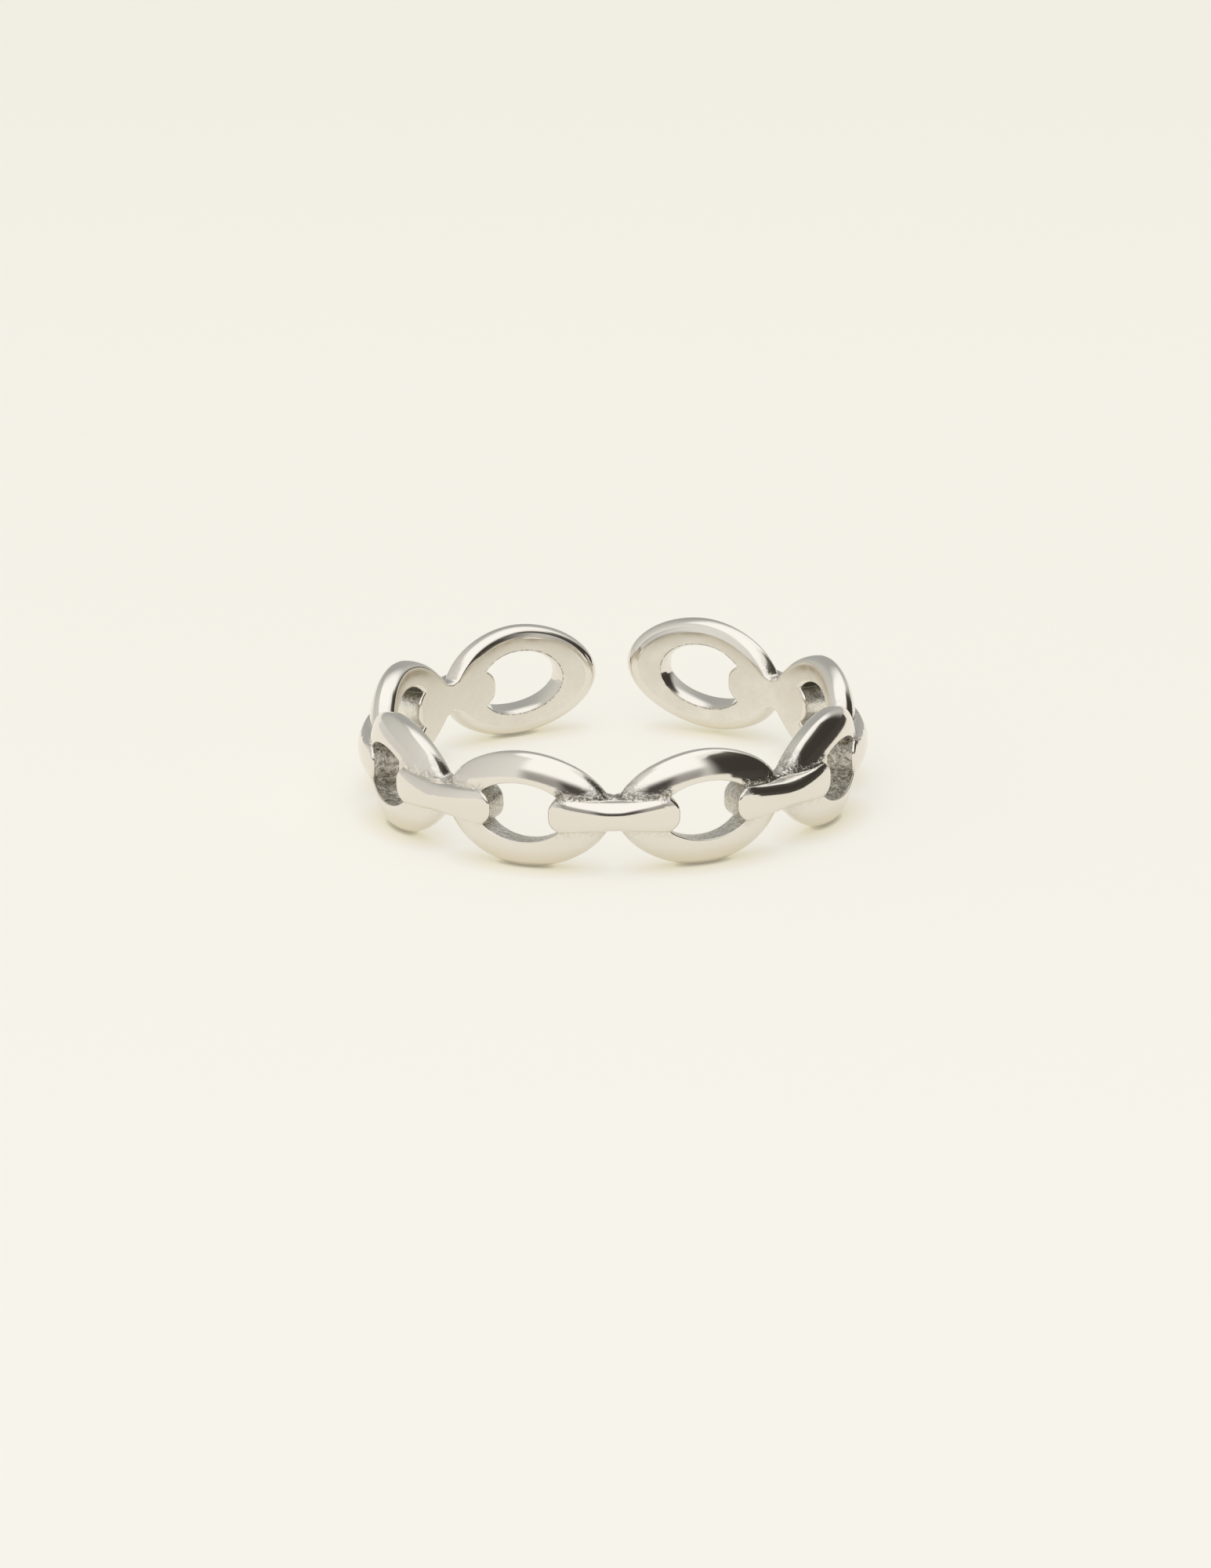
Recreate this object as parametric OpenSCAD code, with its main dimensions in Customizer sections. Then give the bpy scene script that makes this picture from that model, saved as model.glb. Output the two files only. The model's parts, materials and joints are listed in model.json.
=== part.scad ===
// An open finger ring: oval links cast as one band, with a rounded bar over each meeting of two links.
// It lies on its side. The finger hole runs along Z, the middle bar faces -Y and the gap is at +Y.
// A place on the band is given by its length along the finger hole's wall, its height and its depth
// outward from that wall, and is then bent round the finger.

/* [Finger] */
// Inside diameter of the open band
inner_d = 17; // [14:0.5:22]
// Clearance between the two end links at the back
end_gap = 1.2; // [0.6:0.1:4]
// How much higher the tip of the right end link stands than the rest
right_lift = 0.45; // [0:0.05:0.8]
// How much higher the tip of the left end link stands than the rest
left_lift = 0.08; // [0:0.05:0.8]

/* [Links] */
// Number of oval links round the band
link_count = 8; // [6:1:9]
// Clearance between the outlines of two neighbouring links, bridged by a bar
link_gap = 0.1; // [0.04:0.02:0.3]
// Height of a link, along the finger
link_h = 4.5; // [4:0.1:6]
// Thickness of a link at its hole, outward from the finger
link_t = 1.11; // [0.9:0.05:1.6]
// Width of the metal above and below a link's hole
rim_w = 1.1; // [0.8:0.05:1.4]
// Width of the metal between a link's hole and its end
end_w = 1.53; // [1.1:0.05:1.8]
// Depth at which a link is widest, where its side turns into its dome
shoulder_t = 0.55; // [0.3:0.05:0.7]
// Rounding of a link's edge at the finger, across the edge
edge_r = 0.27; // [0.1:0.01:0.3]
// How much wider a link's hole is at the finger, each way
hole_draft = 0.08; // [0:0.02:0.14]
// Ledge of link metal on each side of a bar, in the notch where two links meet
ledge_w = 0.06; // [0.03:0.01:0.2]

/* [Bars] */
// Width of a bar where two links meet
bar_w = 1.16; // [0.9:0.05:1.3]
// Width of a bar at the edge of a link's hole
bar_end_w = 1.32; // [1:0.05:1.4]
// Thickness of a bar at its middle, outward from the finger
bar_t = 1.42; // [1.3:0.05:2]
// Thickness of a bar at its rounded ends
bar_end_t = 1.24; // [1.15:0.05:1.8]
// Depth of the crease along a bar's side where two links meet
crease_t = 0.7; // [0.5:0.05:0.9]
// How far a bar's rounded end stands into the hole
bar_nose = 0.34; // [0.1:0.05:0.5]

/* [Hidden] */

// Fullness of an oval: 2 is an ellipse, less is leaner
link_full = 1.88;
hole_full = 2;
// How tightly the outline turns from an oval into the neck under a bar: more is tighter
neck_full = 9;
// Fullness of a link's dome: 2 is a quarter round, less rises more slowly to the hole
dome_full = 1.6;
// Fullness of a bar's rounded end
nose_full = 3;
// A bar's crown is a broad flat oval of this fullness, mixed with this share of a half-round
crown_full = 6;
crown_round = 0.5;
// Depth that the blank reaches inside the finger hole before the hole is cut
spare_t = 0.18;
// Steps along a bar's half, a hole's quarter, a link's end and across a bar
bar_steps = 6;
hole_steps = 9;
tip_steps = 6;
across_steps = 8;

inner_r = inner_d / 2;
// Length of a link along the finger, and from one meeting of two links to the next
link_l = (2 * PI * inner_r - end_gap - (link_count - 1) * link_gap) / link_count;
pitch = link_l + link_gap;
link_half = link_l / 2;
pitch_half = pitch / 2;
link_half_h = link_h / 2;
hole_half = link_half - end_w;
hole_half_h = link_half_h - rim_w;
neck_half_h = bar_w / 2 + ledge_w;
// Where the edge of a bar meets the edge of a hole
corner_turn = asin(pow(bar_end_w / 2 / hole_half_h, hole_full / 2));
corner_x = hole_half * pow(cos(corner_turn), 2 / hole_full);
outer_corner_x = link_half * pow(cos(corner_turn), 2 / link_full);

function power(v, k) = sign(v) * pow(abs(v), k);
function mix(a, b, t) = a + (b - a) * t;
function unit(v) = v / norm(v);

// A point on an oval, and how far it reaches in a direction from its middle
function oval(half, half_h, full, turn) =
    [half * power(cos(turn), 2 / full), half_h * power(sin(turn), 2 / full)];
function reach(half, half_h, full, turn) =
    pow(pow(abs(cos(turn)) / half, full) + pow(abs(sin(turn)) / half_h, full), -1 / full);

// Depth of a link's domed face at a point measured from the link's middle
function dome_t(p) =
    let (turn = atan2(p[1], p[0]),
         out = reach(link_half, link_half_h, link_full, turn),
         in = reach(hole_half, hole_half_h, hole_full, turn),
         s = min(1, max(0, (out - norm(p)) / (out - in))))
    mix(shoulder_t, link_t, sqrt(1 - pow(1 - s, dome_full)));

// The same on the way from the outline to a bar, where the metal rises to the bar's crease
function ray_t(p, a, share) = max(dome_t(p), share < 1 ? mix(shoulder_t, crease_t, sin(a)) : 0);

// Half height of the band at a length from a link's middle: the oval, or past it the neck
function half_h(x) =
    let (rest = 1 - pow(min(1, x / link_half), link_full))
    pow(pow(link_half_h * pow(rest, 1 / link_full), neck_full) + pow(neck_half_h, neck_full),
        1 / neck_full);

// The stations of the upper run of metal, each [link's middle, outer point, inner point, bar share].
// The bar share goes from 0 where two links meet to 1 at the hole's corner; past that it is 2.
function bar_station(mid, side, share) =
    let (x = mix(pitch_half, outer_corner_x, share))
    [mid, [side * x, half_h(x)],
     [side * mix(pitch_half, corner_x, share), mix(bar_w, bar_end_w, share * share) / 2], share];
function hole_station(mid, turn) =
    [mid, oval(link_half, link_half_h, link_full, turn),
     oval(hole_half, hole_half_h, hole_full, turn), 2];

upper_run = [
    for (i = [0 : link_count - 1])
        let (mid = (i - (link_count - 1) / 2) * pitch)
        each [
            each i == 0
                ? [for (k = [0 : tip_steps - 1]) hole_station(mid, 180 - corner_turn * k / tip_steps)]
                : [for (k = [1 : bar_steps - 1]) bar_station(mid, -1, k / bar_steps)],
            for (k = [0 : 2 * hole_steps])
                hole_station(mid, mix(180 - corner_turn, corner_turn, k / (2 * hole_steps))),
            each i == link_count - 1
                ? [for (k = [1 : tip_steps]) hole_station(mid, corner_turn * (1 - k / tip_steps))]
                : [for (k = [1 : bar_steps]) bar_station(mid, 1, 1 - k / bar_steps)]
        ]
];

// The section of the metal at a station: from the spare inside the finger hole round the outer edge,
// over the dome to the hole, and down the hole's wall
edge_turns = [35, 62];
dome_turns = [24, 44, 64];
function section(st) =
    let (out = st[1], in = st[2], share = st[3],
         way = unit(out - in),
         edge = edge_r * min(1, mix(0.5, 1, share)),
         foot = edge * (1 + spare_t / shoulder_t / (1 - cos(edge_turns[0])) * sin(edge_turns[0])))
    [
        [out - foot * way, -spare_t],
        for (a = edge_turns) [out - edge * (1 - sin(a)) * way, shoulder_t * (1 - cos(a))],
        [out, shoulder_t],
        for (a = dome_turns) let (p = mix(out, in, 1 - cos(a))) [p, ray_t(p, a, share)],
        [in, ray_t(in, 90, share)],
        [share < 1 ? in - [0, edge_r * (1 - share)] : in + hole_draft * (1 + spare_t / link_t) * way,
         -spare_t]
    ];
section_size = len(section(upper_run[0]));
wall_place = section_size - 1;
crease_place = section_size - 2;

// Bends a point of the band round the finger. The two end links climb towards their tips.
last_meeting = (link_count / 2 - 1) * pitch;
tip_run = pitch_half + link_half;
function climb(x) = pow(max(0, (x - last_meeting) / tip_run), 1.4);
function bend(mid, p, t) =
    let (x = mid + p[0], turn = x / inner_r * 180 / PI)
    [(inner_r + t) * sin(turn), -(inner_r + t) * cos(turn),
     p[1] + right_lift * climb(x) + left_lift * climb(-x)];

// The lower run mirrors the upper one, and the two join at the tips
runs = len(upper_run) - 1;
ring_size = 2 * runs;
function ring_points() = [
    for (i = [0 : ring_size - 1])
        let (up = i <= runs, st = upper_run[up ? i : ring_size - i], flip = up ? 1 : -1)
        for (q = section(st)) bend(st[0], [q[0][0], flip * q[0][1]], q[1])
];

// Share of a bar's height at a place across it, from -1 to 1
function crown_rise(v) =
    mix(pow(1 - pow(abs(v), crown_full), 1 / crown_full), sqrt(1 - v * v), crown_round);

// The points across a bar at a station, each on the crown and under it on the finger side.
// The share is 0 at the bar's middle and 1 at its rounded end.
function bar_points(mid, side, share, edge_t) = [
    for (k = [1 : across_steps - 1])
        let (v = cos(180 * k / across_steps),
             end_x = corner_x - bar_nose * (1 - pow(abs(v), nose_full)),
             x = side * mix(pitch_half, end_x, share),
             half_w = mix(bar_w, bar_end_w, share * share) / 2,
             crest = mix(bar_t, bar_end_t, share * share))
        each [bend(mid, [x, v * half_w], mix(edge_t, crest, crown_rise(v))),
              bend(mid, [x, v * (half_w - edge_r * (1 - share))], -spare_t)]
];
first_meeting = tip_steps + 2 * hole_steps + bar_steps;
meeting_step = 2 * bar_steps + 2 * hole_steps;
function meeting(i) = first_meeting + i * meeting_step;
bar_size = 2 * (across_steps - 1);
function all_bar_points() = [
    for (i = [0 : link_count - 2], r = [-bar_steps : bar_steps])
        let (st = upper_run[meeting(i) + r], side = r > 0 ? -1 : 1,
             mid = (i + (r > 0 ? 1 : 0) - (link_count - 1) / 2) * pitch)
        each bar_points(mid, side, abs(r) / bar_steps, ray_t(st[2], 90, st[3]))
];

// Numbers of the points: k is the place in a section, c the place across a bar
function ring_point(i, k) = ((i + ring_size) % ring_size) * section_size + k;
bar_start = ring_size * section_size;
function bar_point(i, r, c, low) =
    c == 0 ? ring_point(meeting(i) + r, low ? wall_place : crease_place)
    : c == across_steps ? ring_point(ring_size - meeting(i) - r, low ? wall_place : crease_place)
    : bar_start + (i * (2 * bar_steps + 1) + r + bar_steps) * bar_size + 2 * (c - 1) + (low ? 1 : 0);

// A four-sided face as two triangles
function face4(a, b, c, d) = [[a, c, b], [a, d, c]];

// Is the metal between stations i and i + 1 of the upper run beside a bar?
function beside_bar(i) =
    let (j = i - (first_meeting - bar_steps))
    j >= 0 && i < meeting(link_count - 2) + bar_steps && j % meeting_step < 2 * bar_steps;

function ring_faces() = [
    for (i = [0 : ring_size - 1])
        let (up = i < runs, open = !beside_bar(up ? i : ring_size - 1 - i))
        for (k = [0 : section_size - 1])
            if (open || k != crease_place)
                each face4(ring_point(i, k), ring_point(i, (k + 1) % section_size),
                           ring_point(i + 1, (k + 1) % section_size), ring_point(i + 1, k))
];
function bar_faces() = [
    for (i = [0 : link_count - 2], c = [0 : across_steps - 1])
        each [
            for (r = [-bar_steps : bar_steps - 1])
                each [
                    each face4(bar_point(i, r, c, false), bar_point(i, r, c + 1, false),
                               bar_point(i, r + 1, c + 1, false), bar_point(i, r + 1, c, false)),
                    each face4(bar_point(i, r, c, true), bar_point(i, r + 1, c, true),
                               bar_point(i, r + 1, c + 1, true), bar_point(i, r, c + 1, true))
                ],
            each face4(bar_point(i, -bar_steps, c, false), bar_point(i, -bar_steps, c, true),
                       bar_point(i, -bar_steps, c + 1, true), bar_point(i, -bar_steps, c + 1, false)),
            each face4(bar_point(i, bar_steps, c, false), bar_point(i, bar_steps, c + 1, false),
                       bar_point(i, bar_steps, c + 1, true), bar_point(i, bar_steps, c, true))
        ]
];

// Links and bars in one piece, with spare metal inside the finger hole
module band_blank() {
    polyhedron(points = [each ring_points(), each all_bar_points()],
               faces = [each ring_faces(), each bar_faces()], convexity = 12);
}

module link_band() {
    color("silver")
        difference() {
            band_blank();
            translate([0, 0, -link_h])
                cylinder(r = inner_r, h = 2 * link_h, $fn = 240);
        }
}

link_band();
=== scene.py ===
import json
import math
import bmesh
import bpy
from mathutils import Matrix, Vector
from mathutils.kdtree import KDTree


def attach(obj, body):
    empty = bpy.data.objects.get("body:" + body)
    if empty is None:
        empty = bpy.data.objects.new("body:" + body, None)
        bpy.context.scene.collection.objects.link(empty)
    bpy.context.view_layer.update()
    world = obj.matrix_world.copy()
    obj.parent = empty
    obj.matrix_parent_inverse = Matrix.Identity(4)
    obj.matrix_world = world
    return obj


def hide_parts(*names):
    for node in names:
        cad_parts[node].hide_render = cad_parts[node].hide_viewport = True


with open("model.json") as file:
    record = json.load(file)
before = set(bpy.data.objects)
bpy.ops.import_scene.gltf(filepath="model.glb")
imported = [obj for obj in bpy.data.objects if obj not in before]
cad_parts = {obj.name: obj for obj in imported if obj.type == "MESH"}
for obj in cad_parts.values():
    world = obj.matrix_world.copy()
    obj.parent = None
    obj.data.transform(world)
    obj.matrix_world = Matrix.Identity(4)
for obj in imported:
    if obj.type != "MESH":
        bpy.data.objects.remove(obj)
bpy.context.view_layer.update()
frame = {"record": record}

# The oval links.
# Eight domed oval frames, cast in steel as one band and bent round the finger. Each has a long
# hole with a crisp edge, and only the two end links at the back show the end of their oval.
MM = 0.001
finger_r = frame["record"]["mounts"][0]["dims"]["r_mm"]

# The metal's shape is in millimetres: w is a width, h a height and t a depth from the finger side
# outward. full says how full an oval is, and 2 is a plain ellipse.
end_gap, link_gap = 1.2, 0.1
right_lift, left_lift, lift_curve = 0.45, 0.08, 1.4
link_count = 8
link_half_h, link_t, rim_w, end_w = 2.25, 1.11, 1.1, 1.53
shoulder_t, crease_t, edge_r, hole_draft, ledge_w = 0.55, 0.7, 0.27, 0.08, 0.06
bar_w, bar_end_w = 1.16, 1.32
link_full, hole_full, neck_full, dome_full = 1.88, 2.0, 9, 1.6
hole_bevel, bore_bevel, wall_belly, flat_start = 0.05, 0.12, 0.018, 0.03
neck_edge_share, neck_filed_share, lip_curve, past_bar = 0.5, 0.3, 4, 2

# The end links' holes open a little more towards the finger, and their rims are filed there.
end_flare, end_bevel, flare_curve = 0.14, 0.06, 4
flare_start, flare_length = 0.82, 0.5
filed_w, filed_left_t, filed_right_t, filed_fade = 0.18, 0.036, 0.065, 1.2
filed_shares = (1.2, 1, 0.5)

bar_steps, hole_steps, tip_steps = 14, 26, 16
edge_turns = [math.radians(a) for a in (7, 13, 22, 33, 46, 60, 75)]
dome_turns = [math.radians(a) for a in (4, 8, 13, 18, 24, 30, 37, 44, 51, 58, 65, 72, 79, 85)]
bevel_turns = [math.radians(a) for a in (30, 60, 90)]
wall_shares = [0.12, 0.25, 0.38, 0.5, 0.62, 0.74, 0.87, 1]

link_half = (2 * math.pi * finger_r - end_gap - (link_count - 1) * link_gap) / link_count / 2
pitch = 2 * link_half + link_gap
pitch_half = pitch / 2
last_meeting = (link_count / 2 - 1) * pitch
tip_run = pitch_half + link_half
hole_half = link_half - end_w
hole_half_h = link_half_h - rim_w
neck_half_h = bar_w / 2 + ledge_w
corner_turn = math.asin((bar_end_w / 2 / hole_half_h) ** (hole_full / 2))
corner_x = hole_half * math.cos(corner_turn) ** (2 / hole_full)
outer_corner_x = link_half * math.cos(corner_turn) ** (2 / link_full)

outline_row = len(filed_shares) + len(edge_turns)
crease_row = outline_row + len(dome_turns) + 1
wall_row = crease_row + len(bevel_turns)


def mix(a, b, t):
    return a + (b - a) * t


def limit(v):
    return min(1, max(0, v))


def power(v, k):
    return math.copysign(abs(v) ** k, v)


def oval(half, half_h, full, turn):
    """A point on the outline of an oval that is given by half its length and half its height."""
    return Vector((half * power(math.cos(turn), 2 / full), half_h * power(math.sin(turn), 2 / full)))


def reach(half, half_h, full, turn):
    """How far the outline of such an oval lies from its middle in a direction."""
    return (abs(math.cos(turn) / half) ** full + abs(math.sin(turn) / half_h) ** full) ** (-1 / full)


def dome_t(p):
    """Depth of a link's domed face at a point measured from the link's middle."""
    turn = math.atan2(p.y, p.x)
    out = reach(link_half, link_half_h, link_full, turn)
    inside = reach(hole_half, hole_half_h, hole_full, turn)
    share = limit((out - p.length) / (out - inside))
    return mix(shoulder_t, link_t, math.sqrt(1 - (1 - share) ** dome_full))


def ray_t(p, turn, share):
    """The same on the way from the outline to a bar, where the metal rises to the bar's crease."""
    return max(dome_t(p), mix(shoulder_t, crease_t, math.sin(turn)) if share < 1 else 0)


def band_half_h(x):
    """Half height of the band at a length from a link's middle: the oval, or past it the neck."""
    oval_h = link_half_h * (1 - min(1, x / link_half) ** link_full) ** (1 / link_full)
    return (oval_h ** neck_full + neck_half_h ** neck_full) ** (1 / neck_full)


def bar_share(step):
    """How far a bar's cross-section lies from the meeting, 0, to the bar's end, 1."""
    return 1 if abs(step) == bar_steps else abs(step) / (bar_steps + 1)


def bar_station(mid, side, step):
    """A cross-section of the band beside a bar: its link's middle, outer point, inner point and share."""
    share = bar_share(step)
    x = mix(pitch_half, outer_corner_x, share)
    inner = Vector((side * mix(pitch_half, corner_x, share), mix(bar_w, bar_end_w, share * share) / 2))
    return mid, Vector((side * x, band_half_h(x))), inner, share


def hole_station(mid, turn):
    """A cross-section of the band through a link's hole. Its share is past a bar's end."""
    return (mid, oval(link_half, link_half_h, link_full, turn),
            oval(hole_half, hole_half_h, hole_full, turn), past_bar)


def link_mid(i):
    """Where a link's middle lies along the band, from the middle of the band."""
    return (i - (link_count - 1) / 2) * pitch


upper_run = []
for i in range(link_count):
    mid = link_mid(i)
    if i == 0:
        upper_run += [hole_station(mid, math.pi - corner_turn * k / tip_steps) for k in range(tip_steps)]
    else:
        upper_run += [bar_station(mid, -1, k) for k in range(1, bar_steps)]
    upper_run += [hole_station(mid, mix(math.pi - corner_turn, corner_turn, k / (2 * hole_steps)))
                  for k in range(2 * hole_steps + 1)]
    if i == link_count - 1:
        upper_run += [hole_station(mid, corner_turn * (1 - k / tip_steps))
                      for k in range(1, tip_steps + 1)]
    else:
        upper_run += [bar_station(mid, 1, bar_steps - k) for k in range(1, bar_steps + 1)]


def flared(mid, p):
    """How much of the end links' flare a place on a hole's edge has. It fades out towards the bar."""
    outward = p.x / hole_half * (1 if mid > 0 else -1)
    return limit((outward + flare_start) / flare_length) if abs(mid) > last_meeting else 0


def wall_rows(edge, way, top_t, bevel, draft, flare=0):
    """The bevel, wall and inner bevel of a hole, from the edge of the domed face down to the finger."""
    draft, inner_bevel = mix(draft, end_flare, flare), mix(bore_bevel, end_bevel, flare)
    rows = []
    for a in bevel_turns:
        rows.append((edge + bevel * (1 - math.sin(a)) * way, top_t - bevel * (1 - math.cos(a))))
    for s in wall_shares:
        belly = 4 * wall_belly * s * (1 - s) * (1 - flare)
        aside = draft * mix(s, s ** flare_curve, flare) - belly
        rows.append((edge + aside * way, mix(top_t - bevel, inner_bevel, s)))
    for a in bevel_turns:
        aside = draft + inner_bevel * (1 - math.cos(a))
        rows.append((edge + aside * way, inner_bevel * (1 - math.sin(a))))
    return rows + [(edge + (draft + inner_bevel + flat_start) * way, 0)]


def filed(x):
    """Depth that filing took off the finger side along the rims of the two end links."""
    return limit((abs(x) - last_meeting) / filed_fade) * (filed_right_t if x > 0 else filed_left_t)


def section(station):
    """A row of points across the metal: from the filed rim over the dome and down the hole's wall."""
    mid, out, inner, share = station
    way = (out - inner).normalized()
    edge = edge_r * min(1, mix(neck_edge_share, 1, share))
    low_t, filed_out = filed(mid + out.x), filed_w * min(1, mix(neck_filed_share, 1, share))
    rows = [(out - (edge + filed_out * s) * way, low_t * max(0, 1 - s)) for s in filed_shares]
    for a in edge_turns:
        rise = 1 - math.cos(a) / math.cos(edge_turns[0])
        rows.append((out - edge * (1 - math.sin(a)) * way, mix(low_t, shoulder_t, rise)))
    rows.append((out, shoulder_t))
    lip = inner + hole_bevel * min(1, share) ** lip_curve * way
    for a in dome_turns:
        p = mix(out, lip, 1 - math.cos(a))
        rows.append((p, ray_t(p, a, share)))
    rows.append((lip, ray_t(lip, math.pi / 2, share)))
    if share < 1:
        under = inner - Vector((0, edge_r * (1 - share)))
        return rows + [None] * (len(bevel_turns) * 2 + len(wall_shares)) + [(under, 0)]
    return rows + wall_rows(inner, way, rows[-1][1], hole_bevel, hole_draft, flared(mid, inner))


def climb(x):
    """Share of its lift that an end link has at a length along the band."""
    return max(0, (x - last_meeting) / tip_run) ** lift_curve


def bend(mid, p, t):
    """Bends a point of the flat band round the finger. The end links climb towards their tips."""
    x = mid + p[0]
    turn = x / finger_r
    return MM * Vector(((finger_r + t) * math.sin(turn), -(finger_r + t) * math.cos(turn),
                        p[1] + right_lift * climb(x) + left_lift * climb(-x)))


points, faces, finishes = [], [], []
POLISHED, SATIN, ROUGH = 0, 1, 2


def add_point(mid, p, t):
    points.append(bend(mid, p, t))
    return len(points) - 1


def add_face(corners, finish):
    faces.append(corners)
    finishes.append(finish)


def row_finish(k, end_link):
    """The finish of a face by its row: rough down most holes, satin on the finger side."""
    if wall_row <= k < wall_row + len(wall_shares):
        return POLISHED if end_link else ROUGH
    if k < 1 or k < len(filed_shares) and not end_link or k == last_row - 1:
        return SATIN
    return POLISHED


runs = len(upper_run) - 1
ring_size = 2 * runs


def station_at(i):
    """The cross-section at a step round the band: along its upper half, and back along the lower."""
    return upper_run[i if i <= runs else ring_size - i]


def on_end_link(i):
    return abs(station_at(i)[0]) > last_meeting


ring = []
for i in range(ring_size):
    mid = station_at(i)[0]
    flip = 1 if i <= runs else -1
    ring.append([row and add_point(mid, (row[0].x, flip * row[0].y), row[1])
                 for row in section(station_at(i))])
last_row = len(ring[0]) - 1
link_points = len(points)

first_meeting = tip_steps + 2 * hole_steps + bar_steps
meeting_step = 2 * bar_steps + 2 * hole_steps
meetings = [first_meeting + i * meeting_step for i in range(link_count - 1)]


def beside_bar(i):
    """Whether the faces after a cross-section meet a bar, and so have no hole to line."""
    j = i - (first_meeting - bar_steps)
    return j >= 0 and i < meetings[-1] + bar_steps and j % meeting_step < 2 * bar_steps


for i in range(ring_size):
    here, after = ring[i], ring[(i + 1) % ring_size]
    by_bar = beside_bar(i if i < runs else ring_size - 1 - i)
    for k in range(last_row):
        if not (by_bar and k >= crease_row):
            add_face((here[k], here[k + 1], after[k + 1], after[k]), row_finish(k, on_end_link(i)))
    add_face((here[last_row], here[0], after[0], after[last_row]), SATIN)

# The bridge bars.
# Seven rounded bars, cast with the links, one lengthwise over each place where two links meet.
# Each has a broad flat crown, stands proud of the links and ends in a rounded nose in the holes.
bar_t, bar_end_t = 1.42, 1.24
bar_nose, nose_full, nose_draft = 0.34, 3, 0
nose_bevel, nose_bevel_more, nose_bevel_curve = 0.12, 1.5, 4
crown_full, crown_round = 6, 0.5
across_steps = 28


def crown_rise(v):
    """Share of a bar's height at a place across it: a broad flat oval with some half-round in it."""
    return mix((1 - abs(v) ** crown_full) ** (1 / crown_full), math.sqrt(1 - v * v), crown_round)


def bar_row(bar, r):
    """A row of points across a bar's crown, the row under it, and at a bar's end the wall between."""
    station = upper_run[meetings[bar] + r]
    mid = link_mid(bar + (1 if r > 0 else 0))
    side = -1 if r > 0 else 1
    share = bar_share(r)
    upper, lower = ring[meetings[bar] + r], ring[ring_size - meetings[bar] - r]
    edge_t = ray_t(station[2], math.pi / 2, station[3])
    half_w = mix(bar_w, bar_end_w, share * share) / 2
    crown, under, wall = [upper[crease_row]], [upper[last_row]], []
    for c in range(1, across_steps):
        v = math.cos(math.pi * c / across_steps)
        rise = math.sqrt(1 - v * v)
        nose_x = corner_x - bar_nose * (1 - abs(v) ** nose_full)
        under_x = mix(pitch_half, nose_x + (bore_bevel + flat_start) * rise, share)
        bevel = nose_bevel * rise * (1 + nose_bevel_more * v ** nose_bevel_curve)
        p = Vector((side * (mix(pitch_half, nose_x + bevel, share)), v * half_w))
        t = mix(edge_t, mix(bar_t, bar_end_t, share * share), crown_rise(v))
        crown.append(add_point(mid, p, t))
        if abs(r) == bar_steps:
            edge = Vector((side * nose_x, p.y))
            rows = wall_rows(edge, Vector((side, 0)), t, bevel, nose_draft)
            wall.append([add_point(mid, q, d) for q, d in rows])
            under.append(wall[-1][-1])
        else:
            under.append(add_point(mid, (side * under_x, v * (half_w - edge_r * (1 - share))), 0))
    if wall:
        wall = [upper[crease_row + 1:]] + wall + [lower[crease_row + 1:]]
    return crown + [lower[crease_row]], under + [lower[last_row]], wall


for bar in range(link_count - 1):
    rows = [bar_row(bar, r) for r in range(-bar_steps, bar_steps + 1)]
    for (crown, under, _), (next_crown, next_under, _) in zip(rows, rows[1:]):
        for c in range(across_steps):
            add_face((crown[c], crown[c + 1], next_crown[c + 1], next_crown[c]), POLISHED)
            add_face((under[c], next_under[c], next_under[c + 1], under[c + 1]), SATIN)
    for crown, _, wall in (rows[0], rows[-1]):
        for c in range(across_steps):
            left, right = [crown[c]] + wall[c], [crown[c + 1]] + wall[c + 1]
            for k in range(len(left) - 1):
                add_face((left[k], left[k + 1], right[k + 1], right[k]),
                         row_finish(crease_row + k, False))

# The casting.
# Links and bars are one piece of steel, so their faces make one closed mesh. Polishing hardly reaches the
# creases and notches,
# and dark specks are painted there: partly that residue and partly painted shade and dark reflection,
# strongest above, in front and at the right.
crease_reach, bar_crease_reach, corner_reach, notch_reach = 0.3, 0.14, 0.4, 1.3
crease_specks_and_shade, corner_specks_and_shade, notch_specks_and_shade, end_hole_grime_and_shade = 1.2, 0.7, 1.1, 0.9
specks_and_shade_below, specks_and_shade_behind, specks_and_shade_left = 0.15, 0.3, 0.4
left_end_x, left_fade = -5, 2
rim_start_z, rim_fade = 0.4, 1.3

band_mesh = bpy.data.meshes.new("cast_link_band")
band_mesh.from_pydata(points, [], faces)
for face, finish in zip(band_mesh.polygons, finishes):
    face.use_smooth = True
    face.material_index = finish
shape = bmesh.new()
shape.from_mesh(band_mesh)
bmesh.ops.recalc_face_normals(shape, faces=shape.faces)
shape.to_mesh(band_mesh)
shape.free()

crease_points, notch_points, corner_points = [], [], []
for meeting in meetings:
    for i in (meeting, ring_size - meeting):
        notch_points.append(points[ring[i][outline_row]])
        corner_points += [points[ring[i + r][crease_row]] for r in (-bar_steps, bar_steps)]
        crease_points += [points[ring[i + r][crease_row]] for r in range(-bar_steps, bar_steps + 1)]

# The edges of the end links' holes get a dark line painted on the finger side, partly grime and partly
# painted shade, and the satin is a little darker under the upper rims.
end_hole_edges = {ring[i][last_row - 2] for i in range(ring_size) if on_end_link(i)}


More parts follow.
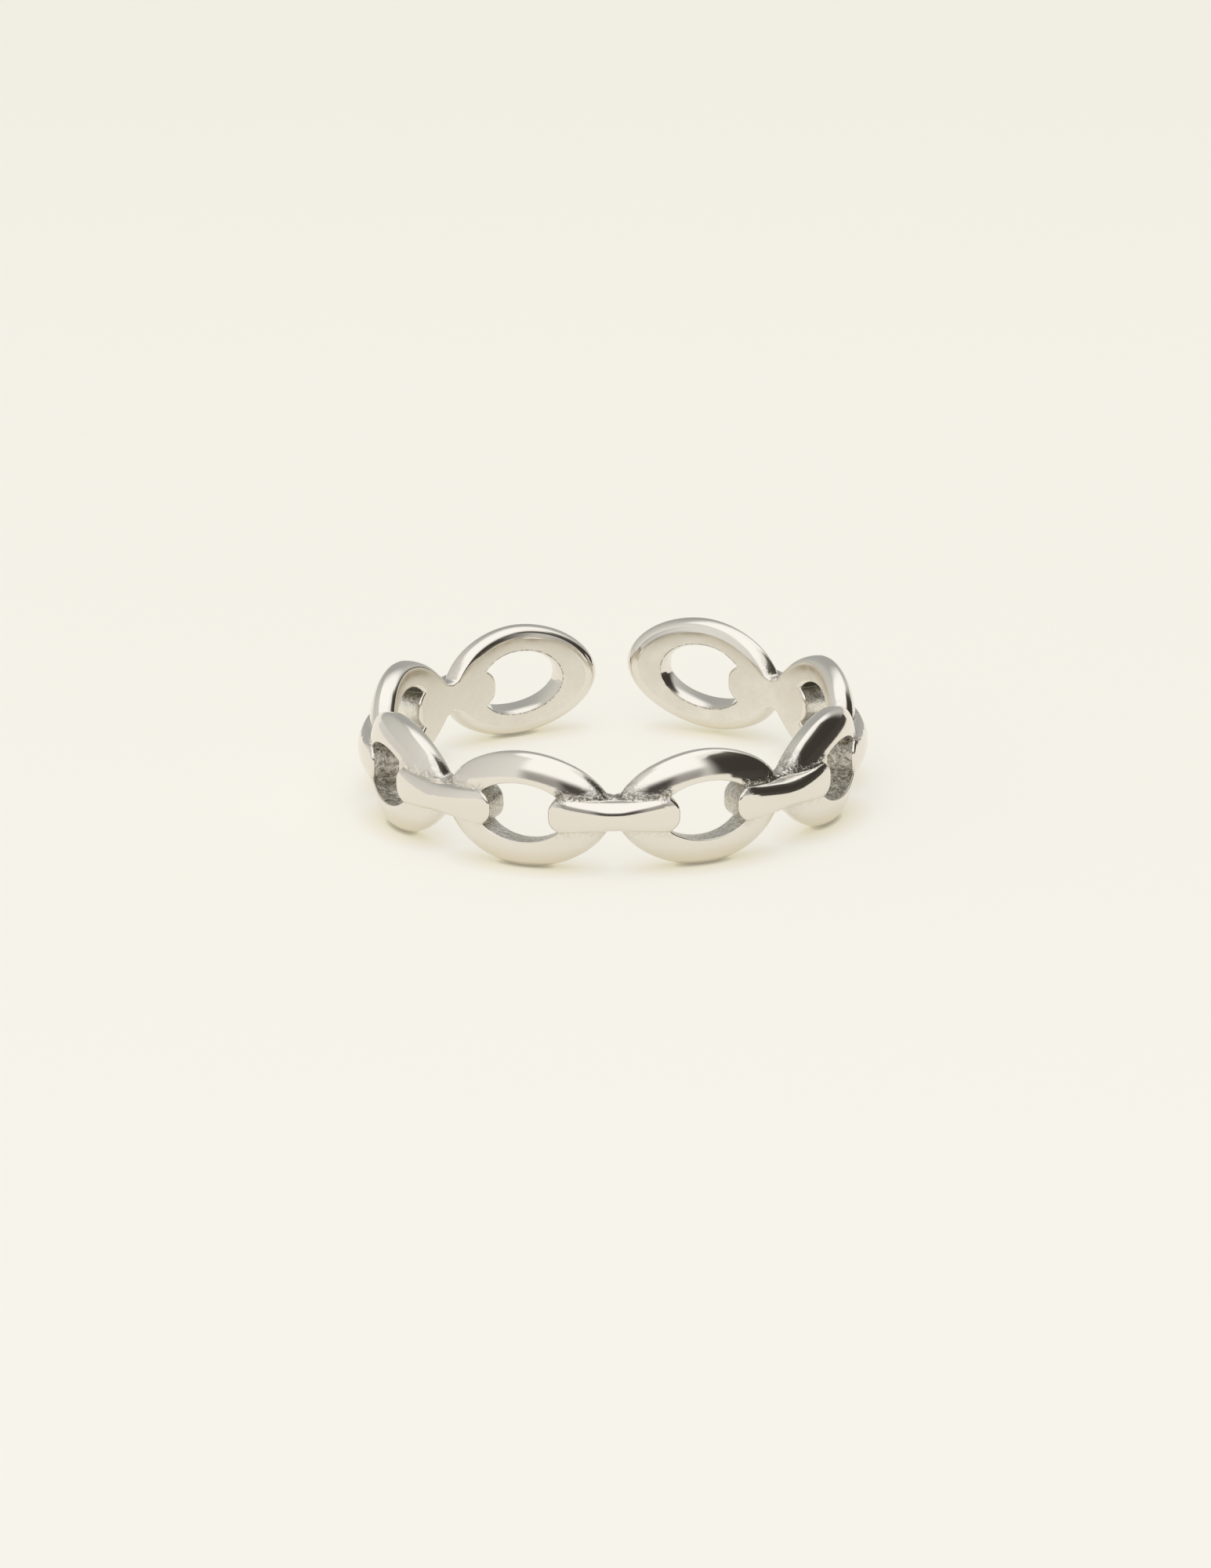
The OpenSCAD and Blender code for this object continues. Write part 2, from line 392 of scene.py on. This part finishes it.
def nearness(places, reach_links, reach_bars):
    """How near each point of the band lies to the closest of some places: 1 is on it, 0 out of reach."""
    tree = KDTree(len(places))
    for i, place in enumerate(places):
        tree.insert(place, i)
    tree.balance()
    return [max(0, 1 - tree.find(p)[2] / ((reach_links if i < link_points else reach_bars) * MM))
            for i, p in enumerate(points)]


# Dark specks painted in the creases and notches and along the end holes' edges: partly residue, partly
# painted shade and dark reflection.
specks_and_shade_paint = band_mesh.attributes.new("wear", "FLOAT", "POINT")
for i, (by_crease, by_corner, by_notch) in enumerate(zip(
        nearness(crease_points, crease_reach, bar_crease_reach),
        nearness(corner_points, corner_reach, corner_reach),
        nearness(notch_points, notch_reach, notch_reach))):
    x, y, z = points[i]
    speck_and_shade_share = crease_specks_and_shade * by_crease + corner_specks_and_shade * by_corner
    if i < link_points:
        speck_and_shade_share += notch_specks_and_shade * by_notch
    speck_and_shade_share = min(1, speck_and_shade_share) * (1 if z > 0 else specks_and_shade_below) * (1 if y < 0 else specks_and_shade_behind)
    speck_and_shade_share *= mix(specks_and_shade_left, 1, limit((x - left_end_x * MM) / (left_fade * MM)))
    specks_and_shade_paint.data[i].value = end_hole_grime_and_shade if i in end_hole_edges else speck_and_shade_share
rim_paint = band_mesh.attributes.new("upper_rim", "FLOAT", "POINT")
for i in range(1, runs):
    for p in ring[i][:len(filed_shares)]:
        rim_paint.data[p].value = limit((points[p].z - rim_start_z * MM) / (rim_fade * MM))
band = bpy.data.objects.new("cast_link_band", band_mesh)
bpy.context.collection.objects.link(band)


# The finishes.
# The steel is polished to a mirror outside and tumbled to a soft satin on the finger side, and down
# in the holes it keeps its rough cast skin. All of it is bare metal with no plating.
warm_steel, pale_steel = (0.825, 0.785, 0.715, 1), (0.855, 0.815, 0.75, 1)
dull_satin, clear_satin = (0.80, 0.755, 0.68, 1), (0.93, 0.90, 0.83, 1)
dark_skin, bright_skin = (0.36, 0.34, 0.285, 1), (0.90, 0.87, 0.80, 1)
# Dark specks take the first colour here, partly residue and partly painted shade and dark reflection.
speck_and_shade_colour, rim_colour = (0.16, 0.145, 0.115, 1), (0.52, 0.47, 0.37, 1)
# Colour of the painted shade high in the holes behind.
upper_shade_colour = (0.2, 0.19, 0.145, 1)


class Flow:
    """A value in a material. Sums, differences and products of such values add Math nodes."""

    def __init__(self, tree, socket):
        self.tree, self.socket = tree, socket

    def maths(self, operation, *values):
        return self.node("ShaderNodeMath", {"operation": operation}, dict(enumerate(values)))

    def node(self, kind, settings, sockets, out=0):
        node = self.tree.nodes.new(kind)
        for name, value in settings.items():
            if name == "stops":
                ramp = node.color_ramp
                while len(ramp.elements) < len(value):
                    ramp.elements.new(0.5)
                for stop, (place, colour) in zip(ramp.elements, value):
                    stop.position, stop.color = place, (*colour, 1)
            else:
                setattr(node, name, value)
        for name, value in sockets.items():
            if isinstance(value, Flow):
                self.tree.links.new(value.socket, node.inputs[name])
            else:
                node.inputs[name].default_value = value
        return Flow(self.tree, node.outputs[out] if node.outputs else None)

    def __add__(self, other): return self.maths("ADD", self, other)
    def __radd__(self, other): return self.maths("ADD", other, self)
    def __sub__(self, other): return self.maths("SUBTRACT", self, other)
    def __rsub__(self, other): return self.maths("SUBTRACT", other, self)
    def __mul__(self, other): return self.maths("MULTIPLY", self, other)
    def __rmul__(self, other): return self.maths("MULTIPLY", other, self)


def start_finish(name):
    """A new material, and the place on its piece, in metres, that its pattern follows."""
    finish = bpy.data.materials.new(name)
    finish.use_nodes = True
    finish.node_tree.nodes.clear()
    return finish, Flow(finish.node_tree, None).node("ShaderNodeTexCoord", {}, {}, "Object")


def end_finish(place, sockets):
    shader = place.node("ShaderNodeBsdfPrincipled", {}, sockets)
    shader.node("ShaderNodeOutputMaterial", {}, {"Surface": shader})


def along(place, axis):
    return place.node("ShaderNodeSeparateXYZ", {}, {"Vector": place}, axis)


def speckle(place, scale, detail, roughness=0.5, twist=0):
    return place.node("ShaderNodeTexNoise", {}, {"Vector": place, "Scale": scale, "Detail": detail,
                                                 "Roughness": roughness, "Distortion": twist}, "Fac")


def stretch(value, limits, curve="LINEAR"):
    """Stretches the part of a value between two limits over 0 to 1."""
    return value.node("ShaderNodeMapRange", {"interpolation_type": curve},
                      {"Value": value, "From Min": limits[0], "From Max": limits[1]}, "Result")


def blend(share, first, second):
    return share.node("ShaderNodeMix", {"data_type": "RGBA"}, {"Factor": share, 6: first, 7: second}, 2)


def painted(place, name):
    """A value that the casting's mesh carries at its points."""
    return place.node("ShaderNodeAttribute", {"attribute_name": name}, {}, "Fac")


def relief(height, strength, depth, **under):
    """Fine relief of a depth in metres, on top of the relief under it."""
    return height.node("ShaderNodeBump", {}, {"Strength": strength, "Distance": depth,
                                              "Height": height, **under})


polished, place = start_finish("polished_steel")
wander, grain = speckle(place, 260, 2), speckle(place, 4200, 3, 0.6)
nicks = speckle(place, 5500, 3, 0.6, 1.2)
# Painted shade and dark reflection, with some real residue, darken the creases, notches and the end
# holes' edges.
wear = painted(place, "wear")
specked_and_shaded = wear * stretch(nicks, (0.42, 0.56))
brushed = relief(grain, 0.06, 0.000004, Normal=relief(wander, 0.25, 0.00004))
end_finish(place, {"Base Color": blend(0.9 * specked_and_shaded, blend(wander, warm_steel, pale_steel), speck_and_shade_colour),
                   "Metallic": 1, "Roughness": 0.07 + 0.06 * grain + 0.2 * specked_and_shaded,
                   "Normal": relief(wear * nicks, 0.7, 0.00005, Normal=brushed)})

satin, place = start_finish("satin_steel")
cloud = stretch(speckle(place, 900, 4, 0.65), (0.33, 0.67))
rim = painted(place, "upper_rim")
shade = rim * rim * (0.55 + 0.7 * cloud)
end_finish(place, {"Base Color": blend(shade, blend(cloud, dull_satin, clear_satin), rim_colour),
                   "Metallic": 1, "Roughness": 0.3 + 0.2 * cloud,
                   "Normal": relief(speckle(place, 9000, 3, 0.65), 0.35, 0.00001)})

# The skin is coarse in the holes at the sides in front and finer in the front holes. In the holes behind
# it is painted dark high up as shade and lighter low down as painted light.
side_x, front_y, back_y = (0.0062, 0.0082), (-0.0005, 0.0005), (0.0005, 0.0012)
lit_low_z, lit_edge_wander = (0.0009, 0.0005), 0.0003

rough, place = start_finish("cast_steel")
fine_skin = stretch(speckle(place, 7000, 3, 0.65), (0.32, 0.68))
coarse_skin = stretch(speckle(place, 4200, 4, 0.7, 0.8), (0.4, 0.6))
behind = along(place, "Y")
at_side = stretch(place.maths("ABSOLUTE", along(place, "X")), side_x) * stretch(-1 * behind, front_y)
at_back = stretch(behind, back_y)
# Painted light low in the holes behind, with painted shade above it.
lit_low = stretch(along(place, "Z") + lit_edge_wander * coarse_skin, lit_low_z)
skin = (1 - at_side) * (0.25 + 0.7 * fine_skin) + at_side * coarse_skin
skin = (1 - at_back) * skin + at_back * (0.15 + 0.25 * fine_skin + 0.6 * lit_low)
upper_shade = at_back * (0.55 - 0.55 * lit_low)
end_finish(place, {"Base Color": blend(upper_shade, blend(skin, dark_skin, bright_skin), upper_shade_colour),
                   "Metallic": 1, "Roughness": 0.14 + 0.16 * skin, "Normal": relief(skin, 0.8, 0.00004)})

for finish in (polished, satin, rough):
    band_mesh.materials.append(finish)
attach(band, "root")
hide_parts("link_band")

# The table.
# The ring lies on a seamless sheet of pale cream paper that runs far past the picture on all sides.
# The sheet is matt and its glow is painted light that stands in for a light table under it, and painted
# shadow dims the glow close to the ring.
floor_z = -link_half_h * MM
sheet_half = 3.0
paper_dull, paper_pale = (0.30, 0.285, 0.255, 1), (0.305, 0.29, 0.26, 1)
glow_from_near_to_far = [(0.0, (0.648, 0.634, 0.590)), (0.3, (0.623, 0.609, 0.565)),
                         (0.62, (0.600, 0.587, 0.540)), (1.0, (0.573, 0.560, 0.511))]
glow_per_m, glow_at_ring, glow_drift = 3.2, 0.3, 0.02
wide_shade, wide_shade_colour = 0.0012, (0.51, 0.46, 0.28, 1)
close_shade, close_shade_colour = 0.00018, (0.22, 0.20, 0.155, 1)


def flat_piece(name, corners):
    """A flat piece of paper or card with four corners, in metres."""
    mesh = bpy.data.meshes.new(name)
    mesh.from_pydata(corners, [], [(0, 1, 2, 3)])
    piece = bpy.data.objects.new(name, mesh)
    bpy.context.collection.objects.link(piece)
    return piece


def open_air(place, far):
    """How free a place on the sheet is of metal nearby."""
    return place.node("ShaderNodeAmbientOcclusion", {"samples": 4}, {"Distance": far}, "AO")


paper, place = start_finish("cream_paper")
drift = speckle(place, 12, 1)
depth = along(place, "Y") + glow_drift * drift
glow = place.node("ShaderNodeValToRGB", {"stops": glow_from_near_to_far},
                  {"Fac": glow_per_m * depth + glow_at_ring})
# Painted contact shadow: the glow dims where metal is near.
glow = blend(open_air(place, wide_shade), wide_shade_colour, glow)
glow = blend(open_air(place, close_shade), close_shade_colour, glow)
end_finish(place, {"Base Color": blend(drift, paper_dull, paper_pale), "Roughness": 0.9,
                   "Specular IOR Level": 0.2, "Emission Color": glow, "Emission Strength": 1.0})
sheet = flat_piece("table_sheet", [
    (-sheet_half, -sheet_half, floor_z), (sheet_half, -sheet_half, floor_z),
    (sheet_half, sheet_half, floor_z), (-sheet_half, sheet_half, floor_z)])
sheet.data.materials.append(paper)

# The light.
# A white tent hangs in front, with the dark camera in the grey gap under it. A pale grey wall stands
# at the left and the back, a dark curtain hangs at the right, and a soft lamp hangs over the table.
wall_from_back_to_front = [
    (0.0, (0.35, 0.355, 0.345)), (0.09, (0.47, 0.475, 0.455)), (0.25, (0.545, 0.545, 0.525)),
    (0.5, (0.60, 0.59, 0.57)), (0.75, (0.66, 0.66, 0.635)), (0.9, (0.72, 0.72, 0.70))]
tent_from_gap_to_top = [
    (0.0, (0.29, 0.285, 0.275)), (0.13, (0.31, 0.30, 0.285)), (0.2, (0.36, 0.35, 0.335)),
    (0.25, (0.45, 0.44, 0.43)), (0.31, (0.80, 0.79, 0.78)), (0.36, (0.95, 0.95, 0.95))]
curtain_from_foot_to_top = [
    (0.0, (0.042, 0.038, 0.032)), (0.46, (0.044, 0.04, 0.034)), (0.58, (0.06, 0.056, 0.048)),
    (0.7, (0.10, 0.096, 0.085)), (0.745, (0.17, 0.165, 0.15)), (0.8, (0.80, 0.79, 0.77))]
camera_black = (0.055, 0.05, 0.045, 1)
roof_white, top_white = (0.93, 0.93, 0.93, 1), (0.95, 0.95, 0.95, 1)

# Each begins or ends softly between two limits, as shares of a ray's way up, forward or to the right.
tent_forward, roof_up, top_up, curtain_right = (0.68, 0.82), (0.74, 1.04), (0.84, 0.93), (0.55, 0.77)
camera_right, camera_half_w, camera_up, camera_forward = 0.05, (0.14, 0.34), (0.15, 0.3), (0, 0.2)
roof_lean_forward, roof_lean_right = 0.15, 0.3
curtain_right_share, curtain_back_share, curtain_back_lean = 0.985, 0.087, 0.6
curtain_low_from, curtain_low_by = 0.45, 0.5
air_strength, least_level = 1.2, 0.001

air = bpy.data.worlds.new("studio_air")
air.use_nodes = True
air.node_tree.nodes.clear()
ray = Flow(air.node_tree, None).node("ShaderNodeTexCoord", {}, {}, "Generated")
rise = along(ray, "Z")
level = ray.maths("MAXIMUM", ray.maths("SQRT", 1 - rise * rise), least_level)
sideways = ray.maths("DIVIDE", along(ray, "X"), level)
forward = ray.maths("DIVIDE", -1 * along(ray, "Y"), level)
grey_wall = ray.node("ShaderNodeValToRGB", {"stops": wall_from_back_to_front},
                     {"Fac": 0.5 * forward + 0.5})
tent = ray.node("ShaderNodeValToRGB", {"stops": tent_from_gap_to_top}, {"Fac": rise})
lowered = curtain_low_by * ray.maths("MAXIMUM", forward - curtain_low_from, 0)
curtain = ray.node("ShaderNodeValToRGB", {"stops": curtain_from_foot_to_top}, {"Fac": rise + lowered})


def soft_edge(value, limits):
    return stretch(value, limits, "SMOOTHSTEP")


seen = blend(soft_edge(forward, tent_forward), grey_wall, tent)
beside_camera = soft_edge(ray.maths("ABSOLUTE", sideways - camera_right), camera_half_w)
above_camera = soft_edge(rise, camera_up)
at_camera = soft_edge(forward, camera_forward) * (1 - beside_camera) * (1 - above_camera)
seen = blend(at_camera, seen, camera_black)
roof_edge = rise - roof_lean_forward * forward + roof_lean_right * sideways
seen = blend(soft_edge(roof_edge, roof_up), seen, roof_white)
curtain_edge = (curtain_right_share * sideways - curtain_back_share * forward
                + curtain_back_lean * ray.maths("MINIMUM", forward, 0) * rise)
seen = blend(soft_edge(curtain_edge, curtain_right), seen, curtain)
seen = blend(soft_edge(rise, top_up), seen, top_white)
light = ray.node("ShaderNodeBackground", {}, {"Color": seen, "Strength": air_strength})
light.node("ShaderNodeOutputWorld", {}, {"Surface": light})
bpy.context.scene.world = air

lamp = bpy.data.lights.new("overhead_soft_lamp", "AREA")
lamp.shape, lamp.size = "DISK", 0.5
lamp.energy, lamp.color = 0.5, (1, 0.99, 0.97)
hung = bpy.data.objects.new("overhead_soft_lamp", lamp)
hung.location = (-0.05, -0.05, 0.5)
hung.rotation_euler = (Vector((0, 0, 0)) - hung.location).to_track_quat("-Z", "Y").to_euler()
hung.visible_glossy = False
bpy.context.collection.objects.link(hung)

# Low cards stand beside the ring for the steel to mirror, black at the right, grey at the left. Their
# tones are painted glow in their own light, and only the steel's reflections see them.
card_top, card_far_end, card_colour = 0.003, 0.030, (0.01, 0.01, 0.01, 1)
for name, x, near_end, glow_tones in (
        ("black_card", 0.031, -0.024, ((0.046, 0.042, 0.035, 1), (0.054, 0.050, 0.042, 1))),
        ("grey_card", -0.031, -0.008, ((0.70, 0.69, 0.665, 1), (0.74, 0.73, 0.70, 1)))):
    card = flat_piece(name, [(x, near_end, floor_z), (x, card_far_end, floor_z),
                             (x, card_far_end, card_top), (x, near_end, card_top)])
    card.visible_camera = card.visible_diffuse = card.visible_shadow = False
    card_glow_finish, place = start_finish(name + "_paper")
    end_finish(place, {"Base Color": card_colour, "Roughness": 0.95, "Specular IOR Level": 0.1,
                       "Emission Color": blend(speckle(place, 900, 2), *glow_tones),
                       "Emission Strength": 1.0})
    card.data.materials.append(card_glow_finish)

# The camera.
# It looks down at the ring's front from a little over a hand's span away, as in the photograph.
# Its place is worked out from where the middle of the ring shows in the picture, and how large.
camera_far, camera_drop, camera_roll = 0.2745, math.radians(17.99), math.radians(0.76)
px_per_m = 32802.0
frame_w, frame_h = 1545, 2000
ring_px = (782.54, 937.92)
ring_middle = Vector((0, 0, 0.0002))
sensor_mm = 36

ahead = Vector((0, math.cos(camera_drop), -math.sin(camera_drop)))
rightward, upward = Vector((1, 0, 0)), Vector((0, math.sin(camera_drop), math.cos(camera_drop)))
stand = (ring_middle - rightward * ((ring_px[0] - frame_w / 2) / px_per_m)
         + upward * ((ring_px[1] - frame_h / 2) / px_per_m) - ahead * camera_far)
cos_roll, sin_roll = math.cos(camera_roll), math.sin(camera_roll)
x_axis = cos_roll * rightward - sin_roll * upward
y_axis = sin_roll * rightward + cos_roll * upward
camera_data = bpy.data.cameras.new("camera")
camera_data.sensor_width = sensor_mm
camera_data.lens = px_per_m * camera_far / frame_h * sensor_mm
camera_data.clip_start, camera_data.clip_end = 0.01, 20
camera = bpy.data.objects.new("camera", camera_data)
turned = Matrix((x_axis, y_axis, -ahead)).transposed()
camera.matrix_world = Matrix.Translation(stand) @ turned.to_4x4()
bpy.context.collection.objects.link(camera)
bpy.context.scene.camera = camera
bpy.context.scene.view_settings.view_transform = "Standard"
